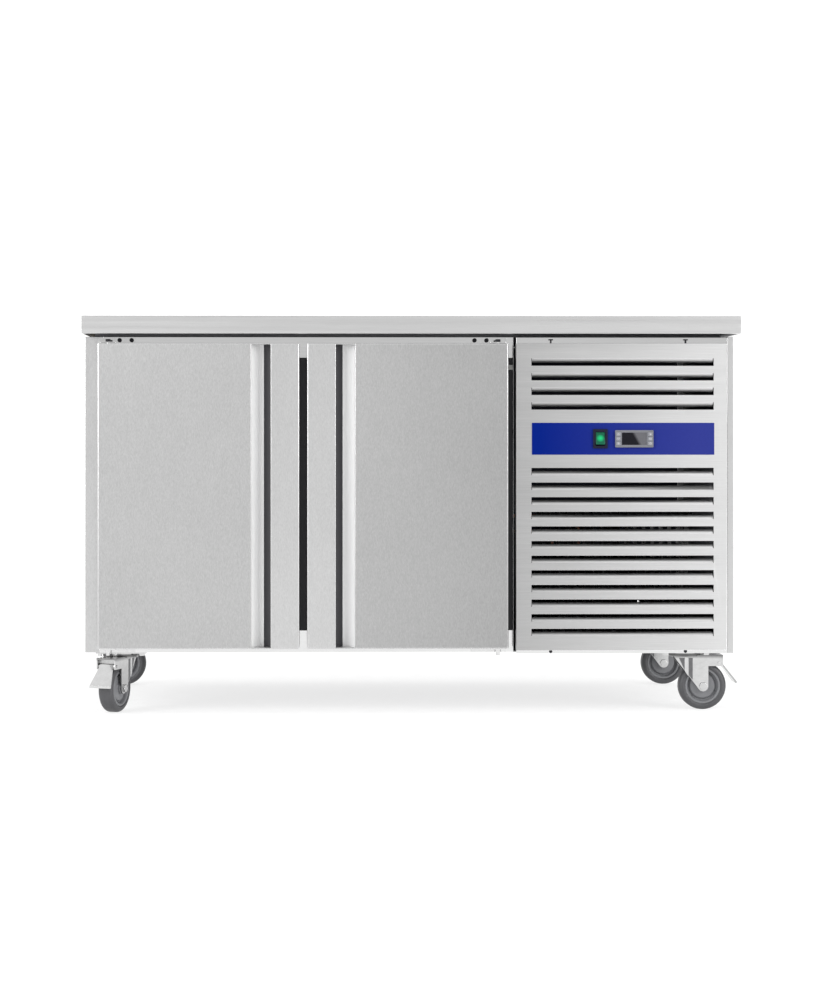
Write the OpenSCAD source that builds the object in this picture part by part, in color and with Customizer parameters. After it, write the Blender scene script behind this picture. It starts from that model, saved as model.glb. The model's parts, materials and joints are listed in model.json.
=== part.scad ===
// Two-door refrigerated counter on swivel casters, with its compressor compartment at the right.
// X runs from left to right, Y from front to back and Z up.
// The origin lies on the floor under the middle of the worktop.

/* [Counter] */
// Width of the worktop
width = 1360; // [1350:1:1400]
// Depth of the worktop
depth = 700; // [695:1:760]
// Height of the worktop above the floor
height = 823; // [815:1:860]
// Height of the worktop's folded edge
worktop_edge = 36; // [32:1:40]
// Overhang of the worktop past the left side
left_overhang = 2; // [1:1:6]
// Overhang of the worktop past the right side
right_overhang = 11; // [8:1:14]
// Thickness of the sheet steel
sheet = 1.2; // [1:0.1:1.5]

/* [Doors] */
// Width of one door
door_w = 416; // [410:1:420]
// Gap between the doors
door_gap = 16; // [12:1:20]
// Thickness of a door without its gasket
door_t = 43; // [42:1:46]
// Radius of the finger groove
groove_r = 29; // [24:1:31]
// Width of the strip beside the groove, on the opening side
strip_w = 59; // [54:1:62]
// Radius of a hinge pin
hinge_pin_r = 3.7; // [3:0.1:4.5]

/* [Grille] */
// Width of the grille panel
panel_w = 436; // [430:1:440]
// Distance from one louvre to the next
louvre_pitch = 30.2; // [29:0.1:30.5]
// Height of one louvre
louvre_h = 15.4; // [12:0.2:17]
// Louvres above the fascia strip
louvres_above = 4; // [1:1:4]
// Louvres below the fascia strip
louvres_below = 12; // [1:1:12]

/* [Casters] */
// Height of a caster from the floor to the body
caster_h = 125; // [124:1:126]
// Radius of a caster wheel
wheel_r = 50; // [48:0.5:50]
// Width of a caster wheel
wheel_w = 32; // [28:1:34]
// Distance from the swivel axis to the wheel's axle
trail = 38; // [34:1:40]
// Radius of a wheel's axle bolt
axle_r = 5; // [4:0.5:6]

/* [Hidden] */
$fn = 48;
fit_gap = 0.05;
part_gap = 0.3;
joint = 0.1;

corners = ["front_left", "front_right", "rear_left", "rear_right"];
sides = ["left", "right"];
key_names = ["up", "down", "light", "defrost", "set", "power"];

// Outline of the body
front_y = -depth / 2;
door_front = front_y + 10;
body_front = front_y + 65;
body_back = depth / 2 - 15;
body_left = -width / 2 + left_overhang;
body_right = width / 2 - right_overhang;
body_bottom = caster_h;
edge_bottom = height - worktop_edge;
body_top = edge_bottom - 5;
housing_front = front_y + 30;

// Doors and grille panel along X and Z
door_x = [body_left + 30, body_left + 30 + door_w + door_gap];
door_bottom = body_bottom + 12;
door_top = edge_bottom - 20;
door_h = door_top - door_bottom;
panel_left = door_x[1] + door_w + door_gap;
panel_right = panel_left + panel_w;
panel_bottom = body_bottom + 8;
panel_top = door_top;
housing_left = panel_left + 1.5;

// Door opening and cold room
rim = 42;
opening_bottom = door_bottom + rim;
opening_top = door_top - rim;
strip_low = opening_bottom - 9;
strip_high = opening_top + 14;
strip_d = 40;
side_strip_d = 10;
room_left = body_left + 61;
room_right = door_x[1] + door_w - 31;
room_back = body_back - 58;
room_bottom = opening_bottom - 1;
room_top = opening_top + 3;
bulkhead_x = panel_left - 1;

// Handle profile, measured from the door's opening edge and from its front
groove_u = strip_w + 11;
lip_t = 2.4;
gasket_in = 22;
gasket_w = 14;
hinge_in = 20;
hinge_back = 27;
bush_r = 6;
bush_len = 16;

// Shelves and the evaporator's cover
cover_x = room_right - 80;
post = 10;
bay_mid = (room_left + cover_x) / 2;
shelf_z = (room_bottom + room_top) / 2;
wire_r = 2;
frame_wire_r = 3;

// Casters
kingpin_x = [-604, 578, -601, 570];
kingpin_y = [front_y + 112, front_y + 112, depth / 2 - 85, depth / 2 - 85];
caster_turn = [249, 0, 180, 0];
has_brake = [true, true, false, false];
plate_t = 3;
race_bottom = caster_h - 9;
fork_top = race_bottom - 0.5;
fork_plate = 3.5;
leg_t = 2.5;
leg_in = wheel_w / 2 + 3;
kingpin_r = 6;
head_r = 33;
pedal_pin = [trail + 33, 98];
pedal_pin_r = 3;
bolt_x = 42;
bolt_y = 32;
bolt_r = 4;

// Grille panel and controls
louvre_left = panel_left + 31;
louvre_w = panel_w - 58.5;
louvre_depth = 7;
flap_drop = 8.6;
upper_first = panel_top - 31;
lower_first = panel_top - 257;
fascia_bottom = panel_top - 230;
fascia_h = 66;
fascia_t = 1.5;
fascia_front = door_front - fascia_t;
control_z = fascia_bottom + fascia_h / 2;
switch_x = panel_left + 173.5;
switch_w = 30;
switch_h = 40;
switch_body = [23.6, 31.6];
rocker_w = 19;
rocker_h = 27;
rocker_tilt = 10;
rocker_pin_r = 1.5;
rocker_pin_x = rocker_w / 2 + 1.6;
pivot_y = fascia_front + 2;
controller_x = panel_left + 243.5;
controller_w = 79;
controller_h = 35.5;
controller_body = [70.4, 28.4];
window = [52, 26];
window_deep = 0.8;
key_w = 9;
key_h = 7.4;
key_pitch = 9.6;
key_out = 33;
key_proud = 0.8;
bezel_t = 4;

// Refrigeration
fan_r = 56;
fan_shaft_r = 3;
fan_shaft_y = 80;
fan_shaft_z = room_top - 80;
coil_x0 = panel_left + 60;
coil_w = 310;
coil_y0 = body_front + 22;
coil_d = 56;
coil_z0 = body_bottom + 24;
coil_h = 285;
fan_x = coil_x0 + coil_w / 2;
fan_z = coil_z0 + coil_h / 2;
fan_y = coil_y0 + coil_d + 28;
compressor_x = panel_left + 150;
compressor_y = 115;
gland_x = body_right - 110;
gland_z = body_bottom + 60;
gland_r = 4.5;
gland_body_r = 7.8;
gland_flange_r = 11;

function caster_names(part) = [for (c = corners) str(part, "_", c)];
function door_names(part) = [for (s = sides) str("door_", part, "_", s)];

// A box given by its lowest and highest corners.
module block(low, high) {
    translate(low) cube(high - low);
}

// A cylinder along Y, from y0 to y1, around the point (x, z).
module rod_y(x, z, r, y0, y1) {
    translate([x, y0, z]) rotate([-90, 0, 0]) cylinder(h = y1 - y0, r = r);
}

// A cylinder along X, from x0 to x1, around the point (y, z).
module rod_x(y, z, r, x0, x1) {
    translate([x0, y, z]) rotate([0, 90, 0]) cylinder(h = x1 - x0, r = r);
}

// A rectangular ring standing in the XZ plane.
module ring_xz(low, high, band) {
    difference() {
        block(low, high);
        block(low + [band, -1, band], high + [-band, 1, -band]);
    }
}

// Body

// Folded pan with a return along its front edge.
module worktop() {
    color("silver") {
        difference() {
            block([-width / 2, front_y, edge_bottom], [width / 2, -front_y, height]);
            block([-width / 2 + sheet, front_y + sheet, edge_bottom - 1],
                  [width / 2 - sheet, -front_y - sheet, height - sheet]);
        }
        block([-width / 2 + sheet, front_y + sheet - joint, edge_bottom],
              [width / 2 - sheet, front_y + 26, edge_bottom + sheet]);
    }
}

// Outer skin of the left side, folded round the front and the back.
module left_side_panel() {
    color("lightgray") {
        block([body_left, body_front, body_bottom], [body_left + sheet, body_back, body_top]);
        block([body_left, body_front, body_bottom], [body_left + 38, body_front + sheet, body_top]);
        block([body_left, body_back - sheet, body_bottom], [body_left + 15, body_back, body_top]);
    }
}

// Outer skin of the right side, which closes the side of the compressor housing too.
module right_side_panel() {
    color("lightgray") {
        block([body_right - sheet, housing_front, body_bottom], [body_right, body_back, body_top]);
        block([body_right - 12, housing_front, body_bottom], [body_right, housing_front + sheet, body_top]);
        block([body_right - 15, body_back - sheet, body_bottom], [body_right, body_back, body_top]);
    }
}

// Back sheet with air slots behind the compressor and the hole of the cable gland.
module rear_panel() {
    slots = 7;
    slot_pitch = 34.4;
    slot_h = 8;
    first = body_bottom + 144;
    slot_right = body_right - 109;
    slot_left = slot_right - 220;
    color("gray") difference() {
        block([body_left + 15.2, body_back - sheet, body_bottom], [body_right - 15.2, body_back, body_top]);
        for (k = [0:slots - 1])
            block([slot_left, body_back - 5, first + k * slot_pitch],
                  [slot_right, body_back + 5, first + k * slot_pitch + slot_h]);
        rod_y(gland_x, gland_z, gland_body_r + 0.2, body_back - 5, body_back + 5);
    }
}

// Bottom sheet, folded up between the cold room and the compressor housing.
module base_panel() {
    inner_back = body_back - sheet - 0.2;
    color("gray") {
        difference() {
            block([body_left + sheet + 0.2, body_front + sheet + 0.2, body_bottom],
                  [body_right - sheet - 0.2, inner_back, body_bottom + 1.5]);
            each_caster_bolt() translate([0, 0, body_bottom - 2]) cylinder(h = 6, r = bolt_r + 0.3);
        }
        block([bulkhead_x - sheet, body_front + sheet + 0.2, body_bottom],
              [bulkhead_x, inner_back, body_top]);
    }
}

// Face frame round the two door openings, with the compressor housing's front standing forward.
module front_frame() {
    back = body_front + sheet;
    right = bulkhead_x - sheet - 0.2;
    hr = body_right - 12.2;
    color("silver") {
        difference() {
            block([body_left + 38.2, body_front, body_bottom], [right, back, body_top]);
            block([door_x[0] + rim, body_front - 1, opening_bottom],
                  [door_x[1] + door_w - rim, back + 1, opening_top]);
            block([door_x[0] + door_w - rim, body_front - 1, strip_low],
                  [door_x[1] + rim, back + 1, strip_high]);
            block([door_x[1] + door_w - rim, body_front - 1, strip_low],
                  [right + 1, back + 1, strip_high]);
        }
        block([body_left + 38.2, body_front, body_bottom + 10],
              [body_left + 38.2 + sheet, body_front + 30, body_top]);
        housing_front_frame(hr);
    }
}

// Front frame of the compressor housing, with its left, top and bottom flanges.
module housing_front_frame(right) {
    left = housing_left;
    difference() {
        block([left, housing_front, body_bottom], [right, body_front + 1, body_top - 2]);
        block([left + sheet, housing_front + sheet, body_bottom + sheet],
              [right + 1, body_front + 2, body_top - 2 - sheet]);
        block([left + 26, housing_front - 1, body_bottom + 26],
              [right - 14, housing_front + 5, body_top - 28]);
    }
}

// Dark breaker strips behind the gap between the doors and the gap beside the right one.
module mullions() {
    low = strip_low + part_gap;
    high = strip_high - part_gap;
    color("dimgray") {
        block([door_x[0] + door_w - rim + 0.2, body_front, low],
              [door_x[1] + rim - 0.2, body_front + strip_d, high]);
        block([door_x[1] + door_w - rim + 0.2, body_front, low],
              [bulkhead_x - sheet - 0.4, body_front + side_strip_d, high]);
    }
}

// Foam of the walls, floor, ceiling and bulkhead, with the board under the worktop.
module insulation() {
    skin = sheet + 0.2;
    color("khaki") {
        difference() {
            block([body_left + skin, body_front + skin, body_bottom + 3.5],
                  [bulkhead_x - skin, body_back - skin, body_top]);
            block([room_left - 1.2, body_front - 1, room_bottom - 1.2],
                  [room_right + 1.2, room_back + 1.2, room_top + 1.2]);
            block([door_x[0] + door_w - rim, body_front - 1, strip_low],
                  [door_x[1] + rim, body_front + strip_d + 1, strip_high]);
            block([door_x[1] + door_w - rim, body_front - 1, strip_low],
                  [bulkhead_x, body_front + side_strip_d + 1, strip_high]);
            block([body_left, body_front - 1, body_bottom], [body_left + 41, body_front + 31, body_top + 1]);
            each_caster_bolt() translate([0, 0, body_bottom]) cylinder(h = 12, r = bolt_r + 4);
        }
        worktop_board();
    }
}

// Board that stiffens the worktop, on the spacer that holds it above the body.
module worktop_board() {
    inset = 3;
    spacer_top = edge_bottom + 1.3;
    block([body_left + 20, body_front + 6, body_top + 0.2],
          [body_right - 20, body_back - 10, spacer_top]);
    block([-width / 2 + inset, front_y + inset, spacer_top - joint],
          [width / 2 - inset, -front_y - inset, height - sheet - 0.2]);
}

// Liner of the cold room, open at the front.
module inner_liner() {
    shell = 1;
    color("lightgray") difference() {
        block([room_left - shell, body_front + sheet + 0.2, room_bottom - shell],
              [room_right + shell, room_back + shell, room_top + shell]);
        block([room_left, body_front, room_bottom], [room_right, room_back, room_top]);
        block([door_x[0] + door_w - rim, body_front, strip_low - 1],
              [door_x[1] + rim, body_front + strip_d + 0.2, strip_high + 1]);
        block([door_x[1] + door_w - rim - 0.5, body_front, strip_low - 1],
              [room_right + 5, body_front + side_strip_d + 0.2, strip_high + 1]);
    }
}

// Upright posts and the runners that carry the shelves.
module shelf_rails() {
    run_h = 2;
    run_in = 12;
    post_y = [body_front + 60, room_back - 60];
    color("silver") {
        for (x = [room_left + 0.2, bay_mid - post / 2, cover_x - post - 0.2]) for (y = post_y)
            block([x, y, room_bottom], [x + post, y + 24, room_top]);
        for (x = [room_left + 0.2 + post - joint, bay_mid + post / 2 - joint])
            block([x, body_front + 50, shelf_z - run_h], [x + run_in, room_back - 20, shelf_z]);
        for (x = [bay_mid - post / 2 + joint, cover_x - post - 0.2 + joint])
            block([x - run_in, body_front + 50, shelf_z - run_h], [x, room_back - 20, shelf_z]);
    }
}

// One wire shelf in each bay.
module wire_shelves() {
    color("white") {
        wire_shelf(room_left + post + 2, bay_mid - post / 2 - 2);
        wire_shelf(bay_mid + post / 2 + 2, cover_x - post - 2);
    }
}

module wire_shelf(x0, x1) {
    wires = 11;
    y0 = body_front + 48;
    y1 = y0 + 500;
    z = shelf_z + frame_wire_r + 0.2;
    left = x0 + frame_wire_r + 0.5;
    right = x1 - frame_wire_r - 0.5;
    step = (right - left) / (wires + 1);
    for (x = [left, right]) rod_y(x, z, frame_wire_r, y0, y1);
    for (y = [y0 + 6, (y0 + y1) / 2, y1 - 6]) rod_x(y, z, frame_wire_r - 0.2, left, right);
    for (i = [1:wires]) rod_y(left + step * i, z + 1.7, wire_r, y0 + 4, y1 - 4);
}

// Refrigeration

// Finned block behind its cover at the right of the cold room.
module evaporator() {
    fins = 12;
    fin_t = 1;
    fin_w = 50;
    tube_r = 5;
    motor_r = 20;
    d = 240;
    h = 230;
    x0 = cover_x + 18;
    y0 = -40;
    z0 = room_bottom + 170;
    step = (d - fin_t) / (fins - 1);
    color("gainsboro") {
        for (i = [0:fins - 1]) block([x0, y0 + i * step, z0], [x0 + fin_w, y0 + i * step + fin_t, z0 + h]);
        for (z = [z0 + 30:h / 5:z0 + h]) rod_y(x0 + fin_w / 2, z, tube_r, y0 - 8, y0 + d + 8);
        rod_x(fan_shaft_y, fan_shaft_z, motor_r, cover_x + 24, cover_x + 60);
        rod_x(fan_shaft_y, fan_shaft_z, fan_shaft_r, cover_x + 8, cover_x + 25);
    }
}

// Sheet cover with the fan's opening and an air slot at the bottom.
module evaporator_cover() {
    x1 = cover_x + sheet;
    y0 = body_front + 45;
    y1 = room_back - 0.2;
    color("lightgray") difference() {
        union() {
            block([cover_x, y0, room_bottom + 60], [x1, y1, room_top - 0.2]);
            block([cover_x, y0, room_bottom + 60], [room_right - 0.2, y0 + sheet, room_top - 0.2]);
            block([cover_x, y0, room_bottom + 60], [room_right - 0.2, y1, room_bottom + 60 + sheet]);
        }
        rod_x(fan_shaft_y, fan_shaft_z, fan_r + 6, cover_x - 5, cover_x + 5);
        for (z = [room_bottom + 80:16:room_bottom + 150])
            block([cover_x - 5, y0 + 60, z], [cover_x + 5, y1 - 60, z + 6]);
    }
}

// Four blades on a hub that turns about X.
module evaporator_fan_blade() {
    color("black") difference() {
        translate([cover_x + 12, fan_shaft_y, fan_shaft_z]) rotate([0, 90, 0]) fan(fan_r, 12, 8);
        rod_x(fan_shaft_y, fan_shaft_z, fan_shaft_r + fit_gap, cover_x, cover_x + 30);
    }
}

// A fan around Z: a hub and four pitched blades.
module fan(r, hub_r, h) {
    cylinder(h = h, r = hub_r);
    for (i = [0:3]) rotate([0, 0, i * 90]) translate([hub_r - 2, 0, h / 2]) rotate([25, 0, 0])
        translate([0, -h, -0.8]) cube([r - hub_r, 2 * h, 1.6]);
}

// Hermetic compressor: a domed pot on a footed base.
module compressor() {
    r = 72;
    z0 = body_bottom + 32;
    color("black") translate([compressor_x, compressor_y, z0]) {
        rotate_extrude() union() {
            square([r, 100]);
            intersection() {
                translate([0, 100]) circle(r = r);
                translate([0, 99]) square([r, r]);
            }
        }
        translate([-95, -60, -5]) cube([190, 120, 6]);
        for (x = [-82, 82]) for (y = [-47, 47]) translate([x, y, -30.3]) cylinder(h = 26, r = 10);
        translate([r - 6, -24, 30]) cube([34, 48, 62]);
    }
}

// Condenser: fins threaded on tubes between two end plates.
module condenser_coil() {
    fins = 18;
    fin_t = 1.5;
    rows = 6;
    tube_r = 5;
    tube_out = 9;
    foot = 10;
    color("dimgray") {
        for (i = [0:fins - 1]) {
            x = coil_x0 + i * (coil_w - fin_t) / (fins - 1);
            block([x, coil_y0, coil_z0], [x + fin_t, coil_y0 + coil_d, coil_z0 + coil_h]);
        }
        for (k = [0:rows - 1])
            rod_x(coil_y0 + coil_d / 2, coil_z0 + coil_h * (k + 0.5) / rows, tube_r,
                  coil_x0 - tube_out, coil_x0 + coil_w + tube_out);
        for (y = [coil_y0 + 2, coil_y0 + coil_d - 2 - foot])
            for (x = [coil_x0 + 18, coil_x0 + coil_w - 18 - foot])
                block([x, y, body_bottom + 1.8], [x + foot, y + foot, coil_z0 + 5]);
    }
}

// Motor of the condenser fan on its stand.
module condenser_fan_motor() {
    color("black") {
        rod_y(fan_x, fan_z, 34, fan_y + 22, fan_y + 78);
        block([fan_x - 6, fan_y + 40, body_bottom + 1.8], [fan_x + 6, fan_y + 60, fan_z - 20]);
        block([fan_x - 60, fan_y + 30, body_bottom + 1.8], [fan_x + 60, fan_y + 70, body_bottom + 5]);
        rod_y(fan_x, fan_z, 4, fan_y - 4, fan_y + 23);
    }
}

module condenser_fan_blade() {
    color("dimgray") difference() {
        translate([fan_x, fan_y + 16, fan_z]) rotate([90, 0, 0]) fan(112, 22, 16);
        rod_y(fan_x, fan_z, 4 + fit_gap, fan_y - 20, fan_y + 40);
    }
}

// Copper lines between the compressor, the condenser and the evaporator.
module refrigerant_pipes() {
    r = 4;
    cz = body_bottom + 205;
    back = room_back - 30;
    hot = [[compressor_x - 30, compressor_y, cz - 5], [compressor_x - 30, compressor_y, cz + 30],
           [coil_x0 - 22, compressor_y, cz + 30], [coil_x0 - 22, coil_y0 + 28, cz + 30],
           [coil_x0 - 9.3, coil_y0 + 28, cz + 30]];
    cold = [[compressor_x + 30, compressor_y, cz - 5], [compressor_x + 30, compressor_y, cz + 60],
            [compressor_x + 30, back, cz + 60], [bulkhead_x + 9, back, cz + 60],
            [bulkhead_x + 9, back, cz + 160]];
    color("peru") {
        pipe(hot, r);
        pipe(cold, r);
    }
}

// A round pipe through a list of points, with a ball at each corner.
module pipe(points, r) {
    for (i = [0:len(points) - 2]) {
        a = points[i];
        b = points[i + 1];
        d = b - a;
        l = norm(d);
        translate(a) rotate([0, acos(d[2] / l), atan2(d[1], d[0])]) cylinder(h = l, r = r);
        if (i > 0) translate(a) sphere(r = r);
    }
}

// Shallow tray in which the defrost water evaporates.
module drain_tray() {
    low = [body_right - 170, -60, body_bottom + 2];
    high = [body_right - 30, 190, body_bottom + 27];
    color("dimgray") difference() {
        block(low, high);
        block(low + [2, 2, 2], high + [-2, -2, 1]);
    }
}

// Doors

// Puts the door profile, drawn from its opening edge, in place. The left door is mirrored.
module place_door(i) {
    if (i == 0) translate([door_x[0] + door_w, door_front, door_bottom]) mirror([1, 0, 0]) children();
    else translate([door_x[1], door_front, door_bottom]) children();
}

// Void of the finger groove, in the door's own outline.
module groove_outline(r) {
    intersection() {
        translate([groove_u, lip_t - sheet]) circle(r = r);
        translate([groove_u - r, lip_t]) square([2 * r, r]);
    }
}

// Folded door skin with the full-height finger groove beside its opening edge.
module door_skin(i) {
    fold = groove_u + groove_r;
    color("lightgray") place_door(i) difference() {
        cube([door_w, door_t - 1, door_h]);
        translate([0, 0, sheet]) linear_extrude(door_h - 2 * sheet) difference() {
            translate([sheet, sheet]) square([door_w - 2 * sheet, door_t]);
            groove_outline(groove_r + sheet);
            translate([groove_u - groove_r - sheet, 0]) square([2 * (groove_r + sheet), lip_t + joint]);
        }
        translate([0, 0, sheet]) linear_extrude(door_h - 2 * sheet) {
            groove_outline(groove_r);
            translate([strip_w, -1]) square([fold - strip_w - 0.6, lip_t + 1 + joint]);
        }
        for (z = [-1, door_h - sheet - 1]) translate([door_w - hinge_in, hinge_back, z])
            cylinder(h = sheet + 2, r = bush_r + 0.1);
    }
}

// Foam that fills a door.
module door_foam(i) {
    gap = sheet + 0.2;
    color("khaki") place_door(i) difference() {
        translate([0, 0, gap]) linear_extrude(door_h - 2 * gap) difference() {
            translate([gap, gap]) square([door_w - 2 * gap, door_t - gap - 3.2]);
            groove_outline(groove_r + gap);
            translate([groove_u - groove_r - gap, 0]) square([2 * (groove_r + gap), lip_t + joint]);
        }
        for (z = [0, door_h - bush_len - 1]) translate([door_w - hinge_in, hinge_back, z])
            cylinder(h = bush_len + 1, r = bush_r + 0.2);
    }
}

// Inner panel of a door, with the channel that holds the gasket and a raised middle.
module door_inner_panel(i) {
    edge = sheet + 0.2;
    mid = gasket_in + gasket_w + 4;
    channel = gasket_in + gasket_w / 2 - 2;
    color("white") place_door(i) difference() {
        union() {
            translate([edge, door_t - 3, edge]) cube([door_w - 2 * edge, 3, door_h - 2 * edge]);
            translate([mid, door_t - joint, mid]) cube([door_w - 2 * mid, 6, door_h - 2 * mid]);
        }
        ring_xz([channel, door_t - 2, channel], [door_w - channel, door_t + 1, door_h - channel], 4);
    }
}

// Magnetic gasket: a base strip with a dart in the channel and a bellows that meets the frame.
module door_gasket(i) {
    back = body_front - door_front - 0.4;
    in = gasket_in;
    dart = in + gasket_w / 2 - 1.6;
    color("dimgray") place_door(i) {
        ring_xz([in, door_t + 0.1, in], [door_w - in, door_t + 4, door_h - in], gasket_w);
        ring_xz([in + 2, door_t + 3.9, in + 2], [door_w - in - 2, back, door_h - in - 2], gasket_w - 4);
        ring_xz([dart, door_t - 1.7, dart], [door_w - dart, door_t + 0.2, door_h - dart], 3.2);
    }
}

// Plain bushes in the top and the bottom of a door, on the hinge side.
module door_hinge_bushes(i) {
    color("black") place_door(i) for (z = [0, door_h - bush_len])
        translate([door_w - hinge_in, hinge_back, z]) difference() {
            cylinder(h = bush_len, r = bush_r);
            translate([0, 0, -1]) cylinder(h = bush_len + 2, r = hinge_pin_r + fit_gap);
        }
}

// Hinge brackets above and below each door, with their pins.
module hinge_brackets() {
    arm = 75;
    arm_x = door_w - arm;
    ear = 32;
    ear_x = door_w - hinge_in - ear / 2;
    wall = body_front - door_front;
    flange_t = 2.4;
    screw_y = wall - flange_t;
    clear = 1.2;
    pin_in = bush_len - 2;
    pin_x = door_w - hinge_in;
    color("silver") for (i = [0, 1]) place_door(i) {
        translate([arm_x, screw_y, door_h + clear]) cube([arm, flange_t - 0.1, 12.5]);
        translate([ear_x, hinge_back - 9, door_h + clear]) cube([ear, wall - hinge_back + 8, flange_t]);
        translate([pin_x, hinge_back, door_h - pin_in]) cylinder(h = pin_in + 6, r = hinge_pin_r);
        for (x = [arm_x + 8, arm_x + 33]) rod_y(x, door_h + 8, 3.4, screw_y - 2, screw_y + 0.5);
        translate([arm_x, screw_y, -11.8]) cube([arm, flange_t - 0.1, 10.6]);
        translate([ear_x, hinge_back - 9, -clear - flange_t]) cube([ear, wall - hinge_back + 8, flange_t]);
        translate([pin_x, hinge_back, -16]) cylinder(h = pin_in + 16, r = hinge_pin_r);
        translate([pin_x, hinge_back, -9]) cylinder(h = 6, r = 6);
    }
}

// Grille panel and controls

// Sheet tray with pressed louvres above and below the fascia strip.
module grille_panel() {
    color("lightgray") difference() {
        union() {
            difference() {
                block([panel_left, door_front, panel_bottom],
                      [panel_right, housing_front - part_gap, panel_top]);
                block([panel_left + sheet, door_front + sheet, panel_bottom + sheet],
                      [panel_right - sheet, housing_front, panel_top - sheet]);
                for (k = [0:louvres_above - 1]) louvre_hole(upper_first - k * louvre_pitch);
                for (k = [0:louvres_below - 1]) louvre_hole(lower_first - k * louvre_pitch);
            }
            for (k = [0:louvres_above - 1]) louvre_flap(upper_first - k * louvre_pitch, true);
            for (k = [0:louvres_below - 1]) louvre_flap(lower_first - k * louvre_pitch, false);
        }
        control_cutouts();
    }
}

// The cut-outs behind the switch and the controller.
module control_cutouts() {
    for (cut = [[switch_x, switch_body], [controller_x, controller_body]])
        block([cut[0] - cut[1][0] / 2 - 0.2, fascia_front - 1, control_z - cut[1][1] / 2 - 0.2],
              [cut[0] + cut[1][0] / 2 + 0.2, door_front + 5, control_z + cut[1][1] / 2 + 0.2]);
}

// The opening of one louvre, given by its top.
module louvre_hole(top) {
    block([louvre_left, door_front - 1, top - louvre_h], [louvre_left + louvre_w, door_front + 5, top]);
}

// The flap of one louvre, bent inwards at its lower edge if it hangs, or at its upper edge if it stands.
module louvre_flap(top, hangs) {
    end_cut = 1.6;
    slope = louvre_depth / flap_drop;
    z = hangs ? top : top - louvre_h;
    dir = hangs ? -1 : 1;
    translate([louvre_left + end_cut, door_front, z]) rotate([90, 0, 90])
        linear_extrude(louvre_w - 2 * end_cut)
        polygon([[0, -dir * joint], [0, 0], [louvre_depth, dir * flap_drop],
                 [louvre_depth + sheet, dir * (flap_drop - sheet * slope / 2)], [sheet, -dir * joint]]);
}

// Coloured strip that carries the switch and the controller.
module fascia_strip() {
    color("mediumblue") difference() {
        block([louvre_left + 1, fascia_front, fascia_bottom],
              [louvre_left + louvre_w + 1, door_front, fascia_bottom + fascia_h]);
        control_cutouts();
    }
}

// Frame and body of the rocker switch.
module switch_bezel() {
    color("black") difference() {
        union() {
            block([switch_x - switch_w / 2, fascia_front - 3, control_z - switch_h / 2],
                  [switch_x + switch_w / 2, fascia_front, control_z + switch_h / 2]);
            block([switch_x - switch_body[0] / 2, fascia_front - joint, control_z - switch_body[1] / 2],
                  [switch_x + switch_body[0] / 2, door_front + 15, control_z + switch_body[1] / 2]);
        }
        block([switch_x - rocker_w / 2 - 0.4, fascia_front - 4, control_z - rocker_h / 2 - 0.6],
              [switch_x + rocker_w / 2 + 0.4, door_front + 13, control_z + rocker_h / 2 + 0.6]);
        rod_x(pivot_y, control_z, rocker_pin_r + fit_gap,
              switch_x - rocker_pin_x - 0.2, switch_x + rocker_pin_x + 0.2);
    }
}

// Lit rocker, held with its upper half pressed in.
module switch_rocker() {
    face = -5.6;
    high = rocker_h / 2 - 0.6;
    color("limegreen") translate([switch_x, pivot_y, control_z]) rotate([-rocker_tilt, 0, 0])
        rotate([90, 0, 90]) translate([0, 0, -rocker_w / 2]) linear_extrude(rocker_w)
            polygon([[face, -high], [face + 1.6, 0], [face, high], [1, high - 0.6], [3, 4], [3, -4],
                     [1, -high + 0.6]]);
    color("limegreen")
        rod_x(pivot_y, control_z, rocker_pin_r, switch_x - rocker_pin_x, switch_x + rocker_pin_x);
}

// Case of the digital controller, with a pocket for each key.
module controller_case() {
    x0 = controller_x - controller_w / 2;
    z0 = control_z - controller_h / 2;
    body = controller_body / 2;
    pane = window / 2;
    front = fascia_front - bezel_t;
    color("gray") difference() {
        union() {
            block([x0, front, z0], [x0 + controller_w, fascia_front, z0 + controller_h]);
            block([controller_x - body[0], fascia_front - joint, control_z - body[1]],
                  [controller_x + body[0], door_front + 45, control_z + body[1]]);
        }
        block([controller_x - pane[0], front - 1, control_z - pane[1]],
              [controller_x + pane[0], front + window_deep, control_z + pane[1]]);
        for (k = [0:5]) translate(key_at(k)) cube([key_w + 0.6, 5, key_h + 0.6], center = true);
    }
}

// Middle of a key's pocket. Keys 0 to 2 stand at the left and 3 to 5 at the right.
function key_at(k) = [controller_x + (k < 3 ? -key_out : key_out), fascia_front - bezel_t + 0.5,
                      control_z + (1 - k % 3) * key_pitch];

// One push key, which stands proud of the case.
module controller_key(k) {
    back = 1.8;
    color("silver") translate([key_at(k)[0], fascia_front - bezel_t - key_proud, key_at(k)[2]])
        translate([-key_w / 2, 0, -key_h / 2]) cube([key_w, key_proud + back, key_h]);
}

// Screws that hold the grille panel, two above and two below it.
module panel_screws() {
    color("gray") for (x = [panel_left + 73, panel_left + 353]) for (z = [panel_top + 6, panel_bottom - 4]) {
        rod_y(x, z, 3.4, housing_front - 3, housing_front - 0.1);
        rod_y(x, z, 1.2, housing_front - 6.5, housing_front - 2.5);
    }
}

// Gland through which the supply lead enters at the back.
module cable_gland() {
    color("black") difference() {
        union() {
            rod_y(gland_x, gland_z, gland_body_r, body_back - 12, body_back + 10);
            rod_y(gland_x, gland_z, gland_flange_r, body_back + 0.2, body_back + 5);
            rod_y(gland_x, gland_z, gland_flange_r, body_back - 8, body_back - sheet - 0.2);
        }
        rod_y(gland_x, gland_z, gland_r, body_back - 13, body_back + 11);
    }
}

// Casters

module each_caster_bolt() {
    for (i = [0:3]) for (x = [-bolt_x, bolt_x]) for (y = [-bolt_y, bolt_y])
        translate([kingpin_x[i] + x, kingpin_y[i] + y, 0]) children();
}

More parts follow.
